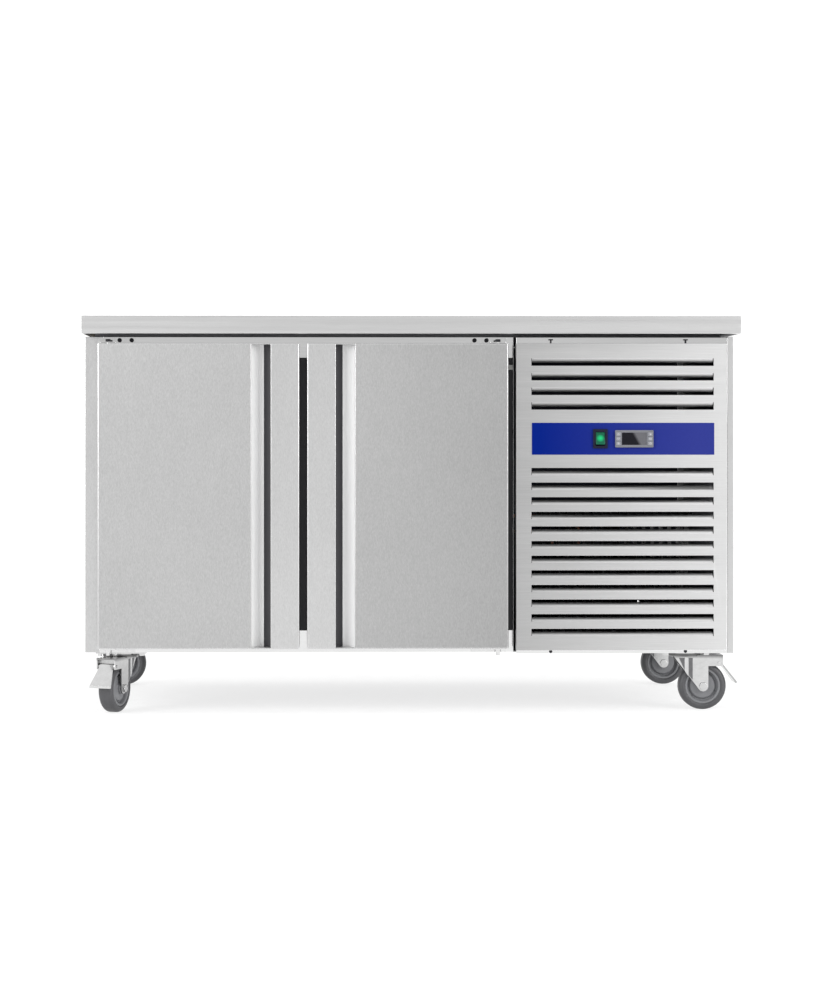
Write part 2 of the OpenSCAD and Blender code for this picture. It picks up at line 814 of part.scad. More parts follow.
// Puts a caster's own frame in place: X along its trail, with the swivel axis at the origin.
module place_caster(i) {
    translate([kingpin_x[i], kingpin_y[i], 0]) rotate([0, 0, caster_turn[i]]) children();
}

// Top plates with the upper ball race and the kingpin.
module caster_plates() {
    color("silver") for (i = [0:3]) translate([kingpin_x[i], kingpin_y[i], 0]) difference() {
        union() {
            translate([-52.5, -42.5, caster_h - plate_t]) cube([105, 85, plate_t - 0.1]);
            translate([0, 0, race_bottom]) cylinder(h = 6.5, r = head_r + 2);
            translate([0, 0, fork_top - fork_plate - 6]) cylinder(h = 16, r = kingpin_r);
            translate([0, 0, fork_top - fork_plate - 6]) cylinder(h = 5.6, r = kingpin_r + 4);
        }
        for (x = [-bolt_x, bolt_x]) for (y = [-bolt_y, bolt_y])
            translate([x, y, caster_h - 5]) cylinder(h = 6, r = bolt_r + 0.3);
    }
}

// Bolts and nuts that hold the plates to the bottom sheet.
module caster_bolts() {
    color("gray") each_caster_bolt() {
        translate([0, 0, caster_h - plate_t - 5]) cylinder(h = 4.9, r = 7);
        translate([0, 0, caster_h - plate_t - 4]) cylinder(h = 10, r = bolt_r);
        translate([0, 0, caster_h + 1.6]) cylinder(h = 4, r = 7);
    }
}

// Outline of a fork leg, in the plane of the wheel.
module leg_outline() {
    hull() {
        translate([trail, wheel_r]) circle(r = 11, $fn = 32);
        translate([trail - 1, fork_top - 10]) square([12, 10]);
        translate([-22, fork_top - 5]) square([60, 5]);
    }
}

// Swivel fork: a top plate round the kingpin and two legs. A braked fork reaches over the wheel.
module caster_fork(i) {
    over = has_brake[i] ? 42 : 11;
    color("silver") place_caster(i) difference() {
        union() {
            translate([0, 0, fork_top - fork_plate]) cylinder(h = fork_plate, r = head_r);
            translate([0, -leg_in - leg_t, fork_top - fork_plate])
                cube([trail + over, 2 * (leg_in + leg_t), fork_plate]);
            for (y = [leg_in + leg_t, -leg_in])
                translate([0, y, 0]) rotate([90, 0, 0]) linear_extrude(leg_t) {
                    leg_outline();
                    if (has_brake[i]) translate([trail, 92]) square([over, fork_top - 92]);
                }
        }
        translate([0, 0, fork_top - fork_plate - 1]) cylinder(h = 6, r = kingpin_r + fit_gap);
        rod_y(trail, wheel_r, axle_r + 0.05, -40, 40);
        if (has_brake[i]) rod_y(pedal_pin[0], pedal_pin[1], pedal_pin_r + fit_gap, -40, 40);
    }
}

// Wheel: a dished hub with its bore, and its own tyre pressed round it.
module caster_wheel(i) {
    w = wheel_w / 2;
    rim_r = wheel_r - 13;
    tread = 9;
    color("dimgray") place_caster(i) translate([trail, 0, wheel_r]) rotate([90, 0, 0]) {
        rotate_extrude() polygon([[axle_r + fit_gap, -w - 2], [axle_r + 7, -w - 2], [axle_r + 7, -w + 5],
            [rim_r - 6, -w + 5], [rim_r - 3, -w + 1], [rim_r, -w + 1], [rim_r, w - 1], [rim_r - 3, w - 1],
            [rim_r - 6, w - 5], [axle_r + 7, w - 5], [axle_r + 7, w + 2], [axle_r + fit_gap, w + 2]]);
        rotate_extrude() intersection() {
            translate([rim_r + 0.1, -w]) square([wheel_r - rim_r, wheel_w]);
            union() {
                translate([rim_r, -w + tread]) square([wheel_r - rim_r - 0.1, wheel_w - 2 * tread]);
                translate([0, -w]) square([wheel_r - tread, wheel_w]);
                for (y = [-w + tread, w - tread]) translate([wheel_r - tread, y]) circle(r = tread);
            }
        }
    }
}

// Axle bolt of a wheel, with its head and its nut outside the fork legs.
module caster_axle(i) {
    out = leg_in + leg_t + 0.1;
    nut_t = 5;
    color("silver") place_caster(i) {
        rod_y(trail, wheel_r, axle_r, -out - 1, out + 1);
        for (y = [-out - nut_t, out])
            translate([trail, y, wheel_r]) rotate([-90, 0, 0]) cylinder(h = nut_t, r = 8.5, $fn = 6);
    }
}

// Brake pedal: a barrel on its pin, with a tongue that widens towards the foot.
module brake_pedal(i) {
    in = leg_in - 0.4;
    tip = [39, -42];
    root = [9, -7];
    color("gainsboro") place_caster(i) translate([pedal_pin[0], 0, pedal_pin[1]]) {
        rod_y(0, 0, pedal_pin_r, -leg_in - leg_t - 1.5, leg_in + leg_t + 1.5);
        rod_y(0, 0, 5.5, -in, in);
        hull() {
            translate([root[0], -16, root[1]]) cube([2, 32, 3]);
            translate([0, -16, 2.4]) cube([4, 32, 3]);
        }
        hull() {
            translate([root[0], -16, root[1]]) cube([2, 32, 3]);
            translate([tip[0] - 4, -24, tip[1]]) cube([2.4, 48, 4]);
        }
    }
}

worktop();
left_side_panel();
right_side_panel();
rear_panel();
base_panel();
front_frame();
mullions();
insulation();
inner_liner();
shelf_rails();
wire_shelves();
evaporator();
evaporator_cover();
evaporator_fan_blade();
compressor();
condenser_coil();
condenser_fan_motor();
condenser_fan_blade();
refrigerant_pipes();
drain_tray();
hinge_brackets();
grille_panel();
fascia_strip();
switch_bezel();
switch_rocker();
controller_case();
panel_screws();
cable_gland();
caster_plates();
caster_bolts();
for (k = [0:5]) {
    controller_key(k);
}
for (i = [0, 1]) {
    door_skin(i);
    door_foam(i);
    door_inner_panel(i);
    door_gasket(i);
    door_hinge_bushes(i);
    brake_pedal(i);
}
for (i = [0:3]) {
    caster_fork(i);
    caster_wheel(i);
    caster_axle(i);
}
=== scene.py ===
"""A two-door refrigerated counter on casters: its looks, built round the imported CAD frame."""
import json
import math

import bmesh
import bpy
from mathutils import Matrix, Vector

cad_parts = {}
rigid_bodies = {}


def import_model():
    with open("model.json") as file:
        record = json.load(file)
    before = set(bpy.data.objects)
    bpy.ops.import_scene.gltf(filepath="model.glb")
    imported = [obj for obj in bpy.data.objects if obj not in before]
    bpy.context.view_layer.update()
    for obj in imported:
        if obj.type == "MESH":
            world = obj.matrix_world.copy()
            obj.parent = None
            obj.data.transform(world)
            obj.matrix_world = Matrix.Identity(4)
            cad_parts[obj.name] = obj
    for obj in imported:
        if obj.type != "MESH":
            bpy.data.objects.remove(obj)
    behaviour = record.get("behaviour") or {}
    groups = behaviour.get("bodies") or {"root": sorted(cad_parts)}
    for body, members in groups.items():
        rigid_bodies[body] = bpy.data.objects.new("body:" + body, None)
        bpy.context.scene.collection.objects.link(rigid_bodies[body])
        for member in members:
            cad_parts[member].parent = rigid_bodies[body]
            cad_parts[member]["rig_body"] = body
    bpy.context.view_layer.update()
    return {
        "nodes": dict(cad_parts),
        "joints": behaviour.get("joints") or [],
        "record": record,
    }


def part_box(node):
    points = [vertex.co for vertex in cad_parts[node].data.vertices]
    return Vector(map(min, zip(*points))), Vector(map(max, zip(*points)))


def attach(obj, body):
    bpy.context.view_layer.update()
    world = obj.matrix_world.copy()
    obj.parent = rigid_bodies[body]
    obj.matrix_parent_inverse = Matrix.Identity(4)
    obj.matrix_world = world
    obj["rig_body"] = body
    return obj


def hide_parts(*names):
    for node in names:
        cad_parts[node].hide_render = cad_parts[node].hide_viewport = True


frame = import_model()
MM = 0.001
CORNERS = ("front_left", "front_right", "rear_left", "rear_right")
KEYS = ("up", "down", "light", "defrost", "set", "power")


# Camera: level with the middle of the counter and a little left of it, looking at its front.

def make_camera():
    low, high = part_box("worktop")
    focal_px = 2374.0
    long_side_px = 1000.0
    distance, height, left_of_middle = 4.885, 0.585, 0.210
    yaw = math.radians(0.929)
    cam = bpy.data.cameras.new("camera")
    cam.sensor_width = 36.0
    cam.lens = focal_px * cam.sensor_width / long_side_px
    cam.shift_x = 0.060
    cam.shift_y = -0.0685
    cam.clip_start, cam.clip_end = 0.1, 60.0
    obj = bpy.data.objects.new("camera", cam)
    obj.location = ((low.x + high.x) / 2 - left_of_middle, low.y - distance, height)
    obj.rotation_euler = (math.radians(90), 0, -yaw)
    bpy.context.scene.collection.objects.link(obj)
    bpy.context.scene.camera = obj


def make_world():
    """Even studio light that is brighter from the sides than from behind the camera."""
    world = bpy.data.worlds.new("studio")
    bpy.context.scene.world = world
    world.use_nodes = True
    nodes, links = world.node_tree.nodes, world.node_tree.links
    nodes.clear()
    out = nodes.new("ShaderNodeOutputWorld")
    back = nodes.new("ShaderNodeBackground")
    coord = nodes.new("ShaderNodeTexCoord")
    split = nodes.new("ShaderNodeSeparateXYZ")
    spread = nodes.new("ShaderNodeMapRange")
    spread.inputs["From Min"].default_value = -1
    ramp = nodes.new("ShaderNodeValToRGB")
    ramp.color_ramp.interpolation = "EASE"
    stops = [(0.0, 0.80), (0.05, 0.82), (0.18, 0.90), (0.45, 0.95), (0.75, 0.90), (1.0, 0.95)]
    while len(ramp.color_ramp.elements) < len(stops):
        ramp.color_ramp.elements.new(0.5)
    for element, (place, level) in zip(ramp.color_ramp.elements, stops):
        element.position = place
        element.color = (level, level, level, 1)
    sideways = nodes.new("ShaderNodeMath")
    sideways.operation = "ABSOLUTE"
    wall = nodes.new("ShaderNodeMapRange")
    wall.interpolation_type = "SMOOTHSTEP"
    wall.inputs["From Min"].default_value = 0.35
    wall.inputs["From Max"].default_value = 0.90
    wall.inputs["To Min"].default_value = 1.0
    wall.inputs["To Max"].default_value = 2.0
    links.new(coord.outputs["Generated"], split.inputs[0])
    links.new(split.outputs["Y"], spread.inputs["Value"])
    links.new(spread.outputs["Result"], ramp.inputs["Fac"])
    links.new(split.outputs["X"], sideways.inputs[0])
    links.new(sideways.outputs[0], wall.inputs["Value"])
    links.new(wall.outputs["Result"], back.inputs["Strength"])
    links.new(ramp.outputs["Color"], back.inputs["Color"])
    links.new(back.outputs[0], out.inputs["Surface"])


def softbox(name, place, target, size, power):
    light = bpy.data.lights.new(name, "AREA")
    light.shape = "RECTANGLE"
    light.size, light.size_y = size
    light.energy = power
    obj = bpy.data.objects.new(name, light)
    obj.location = place
    obj.rotation_euler = (Vector(target) - Vector(place)).to_track_quat("-Z", "Y").to_euler()
    bpy.context.scene.collection.objects.link(obj)


def make_stage():
    """Pale seamless floor that curves up behind the object."""
    half, front, back, rise, radius = 14.0, -12.0, 6.0, 9.0, 2.5
    steps = 14
    path = [(front, 0.0), (back - radius, 0.0)]
    for i in range(1, steps + 1):
        a = math.pi / 2 * i / steps
        path.append((back - radius + radius * math.sin(a), radius - radius * math.cos(a)))
    path.append((back, rise))
    bm = bmesh.new()
    rows = [[bm.verts.new((x, y, z)) for x in (-half, half)] for y, z in path]
    for a, b in zip(rows, rows[1:]):
        bm.faces.new((a[0], a[1], b[1], b[0]))
    floor = mesh_object("studio_floor", bm)
    paper = matt("floor_paper", grey(0.30), 0.9, grain=900, bump=0.02)
    tune(paper, "Specular IOR Level", 0.1)
    tune(paper, "Emission Color", (1, 1, 1, 1))
    tune(paper, "Emission Strength", 0.72)
    floor.data.materials.append(paper)


# Materials

def new_material(name):
    mat = bpy.data.materials.new(name)
    mat.use_nodes = True
    shader = mat.node_tree.nodes["Principled BSDF"]
    return mat, mat.node_tree.nodes, mat.node_tree.links, shader


def tune(mat, socket, value):
    mat.node_tree.nodes["Principled BSDF"].inputs[socket].default_value = value


def grey(value):
    return (value, value, value)


def varied(base, share):
    """A colour darkened and lightened by a share."""
    return tuple(c * (1 - share) for c in base), tuple(min(1.0, c * (1 + share)) for c in base)


def mapped(nodes, links, scale):
    """Object coordinates, stretched by a scale for each axis."""
    coord = nodes.new("ShaderNodeTexCoord")
    mapping = nodes.new("ShaderNodeMapping")
    mapping.inputs["Scale"].default_value = scale
    links.new(coord.outputs["Object"], mapping.inputs["Vector"])
    return mapping.outputs["Vector"]


def axis_place(nodes, links, axis):
    """Where a point stands along one axis of the row frame, in metres at rest."""
    coord = nodes.new("ShaderNodeTexCoord")
    split = nodes.new("ShaderNodeSeparateXYZ")
    links.new(coord.outputs["Object"], split.inputs[0])
    return split.outputs[axis]


def stretch(nodes, links, value, start, end):
    """Runs from 0 to 1 as a value runs from start to end."""
    node = nodes.new("ShaderNodeMapRange")
    node.inputs["From Min"].default_value = start
    node.inputs["From Max"].default_value = end
    links.new(value, node.inputs["Value"])
    return node.outputs["Result"]


def above(nodes, links, value, level):
    """1 where a value is above a level, 0 elsewhere."""
    node = nodes.new("ShaderNodeMath")
    node.operation = "GREATER_THAN"
    node.inputs[1].default_value = level
    links.new(value, node.inputs[0])
    return node.outputs[0]


def noise(nodes, links, vector, scale, detail=3.0, rough=0.5):
    tex = nodes.new("ShaderNodeTexNoise")
    tex.inputs["Scale"].default_value = scale
    tex.inputs["Detail"].default_value = detail
    tex.inputs["Roughness"].default_value = rough
    links.new(vector, tex.inputs["Vector"])
    return tex.outputs["Fac"]


def tone(nodes, links, value, dark, light, low=0.3, high=0.7):
    ramp = nodes.new("ShaderNodeValToRGB")
    ramp.color_ramp.elements[0].position = low
    ramp.color_ramp.elements[1].position = high
    ramp.color_ramp.elements[0].color = (*dark, 1)
    ramp.color_ramp.elements[1].color = (*light, 1)
    links.new(value, ramp.inputs["Fac"])
    return ramp.outputs["Color"]


def ranged(nodes, links, value, low, high):
    """Spreads the middle of a noise's values over low to high."""
    node = nodes.new("ShaderNodeMapRange")
    node.inputs["From Min"].default_value = 0.3
    node.inputs["From Max"].default_value = 0.7
    node.inputs["To Min"].default_value = low
    node.inputs["To Max"].default_value = high
    links.new(value, node.inputs["Value"])
    return node.outputs["Result"]


def blend_colours(nodes, links, kind, factor, a, b):
    mix = nodes.new("ShaderNodeMix")
    mix.data_type = "RGBA"
    mix.blend_type = kind
    for key, value in (("Factor", factor), ("A", a), ("B", b)):
        socket = mix.inputs[key]
        if isinstance(value, bpy.types.NodeSocket):
            links.new(value, socket)
        elif isinstance(value, tuple):
            socket.default_value = (*value, 1)
        else:
            socket.default_value = value
    return mix.outputs["Result"]


def veiled(nodes, links, colour, value, factor, dark):
    """Darkens a colour by a factor where a value is low, down to a tone of dark."""
    veil = tone(nodes, links, value, grey(dark), grey(1.0))
    return blend_colours(nodes, links, "MULTIPLY", factor, colour, veil)


def add_bump(nodes, links, shader, height, strength, distance):
    bump = nodes.new("ShaderNodeBump")
    bump.inputs["Strength"].default_value = strength
    bump.inputs["Distance"].default_value = distance
    links.new(height, bump.inputs["Height"])
    links.new(bump.outputs["Normal"], shader.inputs["Normal"])


def edge_mask(nodes, links, radius):
    """Near 1 at convex edges, where handling polishes or wears a surface, and where the metals are
    lightened as a painted highlight of their bends.
    """
    bevel = nodes.new("ShaderNodeBevel")
    bevel.samples = 4
    bevel.inputs["Radius"].default_value = radius
    geometry = nodes.new("ShaderNodeNewGeometry")
    dot = nodes.new("ShaderNodeVectorMath")
    dot.operation = "DOT_PRODUCT"
    links.new(bevel.outputs["Normal"], dot.inputs[0])
    links.new(geometry.outputs["Normal"], dot.inputs[1])
    return stretch(nodes, links, dot.outputs["Value"], 1.0, 0.85)


def facing(nodes, links, direction):
    """1 on faces that look in a direction of the row frame, 0 elsewhere."""
    geometry = nodes.new("ShaderNodeNewGeometry")
    dot = nodes.new("ShaderNodeVectorMath")
    dot.operation = "DOT_PRODUCT"
    dot.inputs[1].default_value = direction
    links.new(geometry.outputs["True Normal"], dot.inputs[0])
    return above(nodes, links, dot.outputs["Value"], 0.3)


def shaded(nodes, links, colour, shades):
    """Darkens a colour along axes, as painted shade. Each shade is (axis, start, end, tone at
    start, tone at end).
    """
    for axis, start, end, first, last in shades:
        along = stretch(nodes, links, axis_place(nodes, links, axis), start, end)
        shade = tone(nodes, links, along, grey(first), grey(last), 0.0, 1.0)
        colour = blend_colours(nodes, links, "MULTIPLY", 1.0, colour, shade)
    return colour


def brushed(name, base, rough, along, fine=1400.0, streak=0.06, anisotropic=0.4, long_way=0.012,
            bands=0.6, shades=(), shade_facing=None):
    """Brushed sheet steel. along names the axis of the brush lines. The last argument names the way
    that the sheet's inner side looks; faces that look that way are darkened to near black as
    painted shade."""
    mat, nodes, links, shader = new_material(name)
    scale = [1.0, 1.0, 1.0]
    scale["XYZ".index(along)] = long_way
    lines = noise(nodes, links, mapped(nodes, links, scale), fine, 4.0, 0.65)
    broad = noise(nodes, links, mapped(nodes, links, scale), fine / 12, 3.0, 0.6)
    clouds = noise(nodes, links, mapped(nodes, links, (1, 1, 1)), 3.2, 2.0)
    colour = tone(nodes, links, lines, *varied(base, streak))
    colour = veiled(nodes, links, colour, broad, bands, 0.93)
    colour = veiled(nodes, links, colour, clouds, 0.6, 0.94)
    colour = shaded(nodes, links, colour, shades)
    # Edges lightened to pale grey: partly wear, partly a painted highlight of the bends.
    colour = blend_colours(nodes, links, "MIX", edge_mask(nodes, links, 0.0012), colour, grey(0.88))
    # Painted shade: the inner faces darkened to near black.
    if shade_facing:
        inner_shade = (0.05, 0.05, 0.065)
        colour = blend_colours(nodes, links, "MIX", facing(nodes, links, shade_facing), colour, inner_shade)
    links.new(colour, shader.inputs["Base Color"])
    swing = 0.16 * bands
    links.new(ranged(nodes, links, broad, rough * (1 - swing), rough * (1 + swing)),
              shader.inputs["Roughness"])
    shader.inputs["Metallic"].default_value = 1.0
    shader.inputs["Anisotropic"].default_value = anisotropic
    add_bump(nodes, links, shader, lines, 0.10, 0.00004)
    return mat


def dull_top(mat):
    """Makes the faces of a brushed material that look up rougher, as a used worktop is."""
    nodes, links = mat.node_tree.nodes, mat.node_tree.links
    roughness = nodes["Principled BSDF"].inputs["Roughness"]
    plain = roughness.links[0].from_socket
    rougher = nodes.new("ShaderNodeMath")
    rougher.operation = "MULTIPLY_ADD"
    rougher.inputs[1].default_value = 0.28
    links.new(facing(nodes, links, (0, 0, 1)), rougher.inputs[0])
    links.new(plain, rougher.inputs[2])
    links.new(rougher.outputs[0], roughness)


def metal(name, base, rough, mottled=0.12, grain=140.0, bump=0.12, shades=()):
    """Plated, cast or bare metal with a mottled surface."""
    mat, nodes, links, shader = new_material(name)
    vector = mapped(nodes, links, (1, 1, 1))
    spots = noise(nodes, links, vector, grain, 5.0, 0.6)
    clouds = noise(nodes, links, vector, grain / 9, 3.0)
    colour = tone(nodes, links, spots, *varied(base, mottled))
    colour = veiled(nodes, links, colour, clouds, 0.6, 0.86)
    # Edges lightened: partly wear, partly a painted highlight of the bends.
    pale = tuple(min(1.0, c * 1.25) for c in base)
    colour = blend_colours(nodes, links, "MIX", edge_mask(nodes, links, 0.0008), colour, pale)
    colour = shaded(nodes, links, colour, shades)
    links.new(colour, shader.inputs["Base Color"])
    roughness = ranged(nodes, links, clouds, rough * 0.8, rough * 1.25)
    links.new(roughness, shader.inputs["Roughness"])
    shader.inputs["Metallic"].default_value = 1.0
    add_bump(nodes, links, shader, spots, bump, 0.0001)
    return mat


def matt(name, base, rough, grain=600.0, bump=0.15, coat=0.0, vary=0.1):
    """Moulded plastic, rubber, foam or paint."""
    lift = 1.35
    mat, nodes, links, shader = new_material(name)
    vector = mapped(nodes, links, (1, 1, 1))
    fine = noise(nodes, links, vector, grain, 4.0, 0.6)
    clouds = noise(nodes, links, vector, grain / 30, 3.0)
    colour = tone(nodes, links, clouds, *varied(base, vary))
    worn = tuple(min(1.0, c * lift + 0.01) for c in base)
    colour = blend_colours(nodes, links, "MIX", edge_mask(nodes, links, 0.0007), colour, worn)
    links.new(colour, shader.inputs["Base Color"])
    roughness = ranged(nodes, links, fine, rough * 0.85, min(1.0, rough * 1.15))
    links.new(roughness, shader.inputs["Roughness"])
    shader.inputs["Coat Weight"].default_value = coat
    add_bump(nodes, links, shader, fine, bump, 0.0001)
    return mat


# Mesh helpers

def mesh_object(name, bm, smooth_below=32.0):
    """Turns a bmesh into an object whose shallow edges are smooth."""
    mesh = bpy.data.meshes.new(name)
    bmesh.ops.recalc_face_normals(bm, faces=bm.faces)
    bm.to_mesh(mesh)
    bm.free()
    for polygon in mesh.polygons:
        polygon.use_smooth = True
    mesh.set_sharp_from_angle(angle=math.radians(smooth_below))
    obj = bpy.data.objects.new(name, mesh)
    bpy.context.scene.collection.objects.link(obj)
    return obj


def body_of(node):
    return frame["nodes"][node]["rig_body"]


def slot_of(node):
    return next(s["material_slot"] for s in frame["record"]["subparts"] if s["node"] == node)


def settle(obj, mat, body, slot, *replaced):
    """Gives a piece its material and its body, and hides the nodes that it stands for. Its slot is
    not used.
    """
    obj.data.materials.clear()
    obj.data.materials.append(mat)
    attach(obj, body)
    if replaced:
        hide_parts(*replaced)
    return obj


def bent_edges(bm, angle):
    """Edges between two faces that turn by more than an angle in degrees."""
    limit = math.radians(angle)
    bm.edges.ensure_lookup_table()
    return [e for e in bm.edges if len(e.link_faces) == 2 and e.calc_face_angle(0) > limit]


def give(mat, *nodes):
    """Gives carried-over CAD nodes a material."""
    for node in nodes:
        mesh = frame["nodes"][node].data
        mesh.materials.clear()
        mesh.materials.append(mat)


def across(face, edge):
    """How far a face reaches from one of its edges."""
    start = edge.verts[0].co
    line = (edge.verts[1].co - start).normalized()
    return max((v.co - start - line * (v.co - start).dot(line)).length for v in face.verts)


def is_bend(edge, reach):
    """True at the outside of a fold whose two faces both reach far enough for a real bend."""
    outside = edge.calc_face_angle_signed(0) > 0
    return outside and min(across(face, edge) for face in edge.link_faces) > reach


def shaped(node, mat, bend=0.0, reach=6.0, small=0.3):
    """Stands for a CAD node, with bends of radius bend at its folds and its other edges eased by
    small, both in mm. A fold's faces reach more than reach mm from it."""
    fold_angle, smooth_below = 30.0, (50.0 if small else 25.0)
    bm = bmesh.new()
    bm.from_mesh(frame["nodes"][node].data)
    bmesh.ops.remove_doubles(bm, verts=bm.verts, dist=1e-6)
    bmesh.ops.dissolve_limit(bm, angle_limit=math.radians(0.6), verts=bm.verts, edges=bm.edges)
    bmesh.ops.recalc_face_normals(bm, faces=bm.faces)
    for radius, segments in ((bend, 3), (small, 2)):
        if radius <= 0:
            continue
        edges = [e for e in bent_edges(bm, fold_angle)
                 if radius == small or is_bend(e, reach * MM)]
        if edges:
            bmesh.ops.bevel(bm, geom=edges, offset=radius * MM, offset_type="OFFSET",
                            segments=segments, profile=0.5, affect="EDGES", clamp_overlap=True)
    obj = mesh_object(node + "_shaped", bm, smooth_below)
    weight_normals(obj)
    return settle(obj, mat, body_of(node), slot_of(node), node)


def weight_normals(obj):
    """Keeps flat faces flat beside their rounded edges."""
    mod = obj.modifiers.new("flat_faces", "WEIGHTED_NORMAL")
    mod.mode = "FACE_AREA"
    mod.keep_sharp = True


def rounded_path(points):
    """Rounds a polyline. Each point is (x, y, radius)."""
    steps = 5
    path = []
    for i, (x, y, radius) in enumerate(points):
        here = Vector((x, y))
        if i in (0, len(points) - 1) or radius <= 0:
            path.append(here)
            continue
        back = (Vector(points[i - 1][:2]) - here).normalized()
        on = (Vector(points[i + 1][:2]) - here).normalized()
        half = back.angle(on) / 2
        reach = radius / math.tan(half)
        start, end = here + back * reach, here + on * reach
        centre = here + (back + on).normalized() * (radius / math.sin(half))
        a, b = start - centre, end - centre
        turn = a.angle_signed(b)
        for k in range(steps + 1):
            spin = -turn * k / steps
            path.append(centre + Vector((a.x * math.cos(spin) - a.y * math.sin(spin),
                                         a.x * math.sin(spin) + a.y * math.cos(spin))))
    return path


def offset_path(path, distance):
    """The same path moved to its left by a distance."""
    moved = []
    for i, here in enumerate(path):
        before = (here - path[i - 1]).normalized() if i else None
        after = (path[i + 1] - here).normalized() if i < len(path) - 1 else None
        before, after = before or after, after or before
        tangent = (before + after).normalized()
        normal = Vector((-tangent.y, tangent.x))
        moved.append(here + normal * (distance / max(0.3, tangent.dot(before))))
    return moved


def folded_sheet(name, path, thickness, low, high, place):
    """Sheet metal that follows a path in its cross-section and runs from low to high."""
    inner = offset_path(path, thickness)
    bm = bmesh.new()
    rings = []
    for level in (low, high):
        rings.append(([bm.verts.new(place(p.x, p.y, level)) for p in path],
                      [bm.verts.new(place(p.x, p.y, level)) for p in inner]))
    (o0, i0), (o1, i1) = rings
    for k in range(len(path) - 1):
        bm.faces.new((o0[k], o0[k + 1], o1[k + 1], o1[k]))
        bm.faces.new((i0[k + 1], i0[k], i1[k], i1[k + 1]))
        bm.faces.new((o0[k], i0[k], i0[k + 1], o0[k + 1]))
        bm.faces.new((o1[k + 1], i1[k + 1], i1[k], o1[k]))
    for k in (0, len(path) - 1):
        bm.faces.new((o0[k], o1[k], i1[k], i0[k]))
    obj = mesh_object(name, bm, 40.0)
    weight_normals(obj)
    return obj


def curve_bmesh(name, curve):
    """The surface of a curve as a bmesh."""
    holder = bpy.data.objects.new(name, curve)
    bpy.context.scene.collection.objects.link(holder)
    bpy.context.view_layer.update()
    graph = bpy.context.evaluated_depsgraph_get()
    mesh = bpy.data.meshes.new_from_object(holder.evaluated_get(graph))
    bpy.data.objects.remove(holder)
    bm = bmesh.new()
    bm.from_mesh(mesh)
    return bm


def plate(name, outline, holes, low, high, place, ease=0.3):
    """Flat plate with round holes. Its outer rim is eased."""
    curve = bpy.data.curves.new(name, "CURVE")
    curve.dimensions = "2D"
    curve.fill_mode = "BOTH"
    angles = [k * math.pi / 16 for k in range(32)]
    loops = [[(p.x, p.y) for p in outline]]
    for x, y, radius in holes:
        loops.append([(x + radius * math.cos(a), y + radius * math.sin(a)) for a in angles])
    for loop in loops:
        spline = curve.splines.new("POLY")
        spline.points.add(len(loop) - 1)
        spline.use_cyclic_u = True
        for point, (x, y) in zip(spline.points, loop):
            point.co = (x, y, 0, 1)
    curve.extrude = (high - low) / 2 - ease
    curve.bevel_depth = ease
    curve.bevel_resolution = 1
    curve.offset = -ease
    bm = curve_bmesh(name, curve)
    bmesh.ops.remove_doubles(bm, verts=bm.verts, dist=1e-4)
    for vert in bm.verts:
        vert.co = place(vert.co.x, vert.co.y, vert.co.z + (low + high) / 2)
    obj = mesh_object(name, bm, 40.0)
    weight_normals(obj)
    return obj


def lathe(name, profile, centre, axis, steps=56):
    """Turns a profile round an axis. The profile's points are (radius, distance along the axis) in
    mm, and the centre is in metres."""
    axis = Vector(axis).normalized()
    side = axis.orthogonal().normalized()
    up = axis.cross(side)
    bm = bmesh.new()
    rings = []
    for k in range(steps):
        a = 2 * math.pi * k / steps
        out = side * math.cos(a) + up * math.sin(a)
        rings.append([bm.verts.new(centre + out * (r * MM) + axis * (d * MM)) for r, d in profile])
    for k in range(steps):
        a, b = rings[k], rings[(k + 1) % steps]
        for i in range(len(profile)):
            j = (i + 1) % len(profile)
            bm.faces.new((a[i], a[j], b[j], b[i]))
    bmesh.ops.remove_doubles(bm, verts=bm.verts, dist=1e-6)
    return mesh_object(name, bm, 35.0)


def box_piece(name, low, high, ease):
    """Block with eased edges, given by two corners in metres."""
    low, high = Vector(low), Vector(high)
    middle, size = (low + high) / 2, high - low
    bm = bmesh.new()
    bmesh.ops.create_cube(bm, size=1.0)
    for vert in bm.verts:
        vert.co = middle + Vector([c * s for c, s in zip(vert.co, size)])
    bmesh.ops.bevel(bm, geom=list(bm.edges), offset=ease, segments=2, profile=0.5,
                    affect="EDGES", clamp_overlap=True)
    obj = mesh_object(name, bm, 50.0)
    weight_normals(obj)
    return obj


def tube(name, points, radius, cyclic):
    """Round bar through a list of points in metres."""
    curve = bpy.data.curves.new(name, "CURVE")
    curve.dimensions = "3D"
    curve.bevel_depth = radius
    curve.bevel_resolution = 5
    curve.use_fill_caps = True
    spline = curve.splines.new("POLY")
    spline.points.add(len(points) - 1)
    spline.use_cyclic_u = cyclic
    for point, place in zip(spline.points, points):
        point.co = (*place, 1)
    return mesh_object(name, curve_bmesh(name, curve), 50.0)


# Materials of this counter

DOOR_LOW, DOOR_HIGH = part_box("door_skin_right")
GRILLE_LOW, GRILLE_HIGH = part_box("grille_panel")
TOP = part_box("worktop")[1].z
FORK_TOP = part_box("caster_fork_front_left")[1].z
PLATE_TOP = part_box("caster_plates")[1].z
UPRIGHT = {"fine": 760.0, "long_way": 0.25, "bands": 0.12}
# Painted shade: doors and grille darker towards the bottom.
FALL_SHADE = ("Z", DOOR_LOW.z, DOOR_HIGH.z, 0.87, 1.0)
# Painted shade: right door darker towards its right side.
DOOR_SIDE_SHADE = ("X", DOOR_LOW.x, DOOR_HIGH.x, 1.0, 0.80)
# Painted light and shade: grille darker at its left and paler towards its right.
GRILLE_SIDE_SHADE = ("X", GRILLE_LOW.x, GRILLE_HIGH.x, 0.64, 1.0)
# Painted shade: the worktop's top darkened to hold down the lamps' reflection in it.
TOP_SHADE = ("Z", TOP - 1.2 * MM, TOP - 0.2 * MM, 1.0, 0.55)
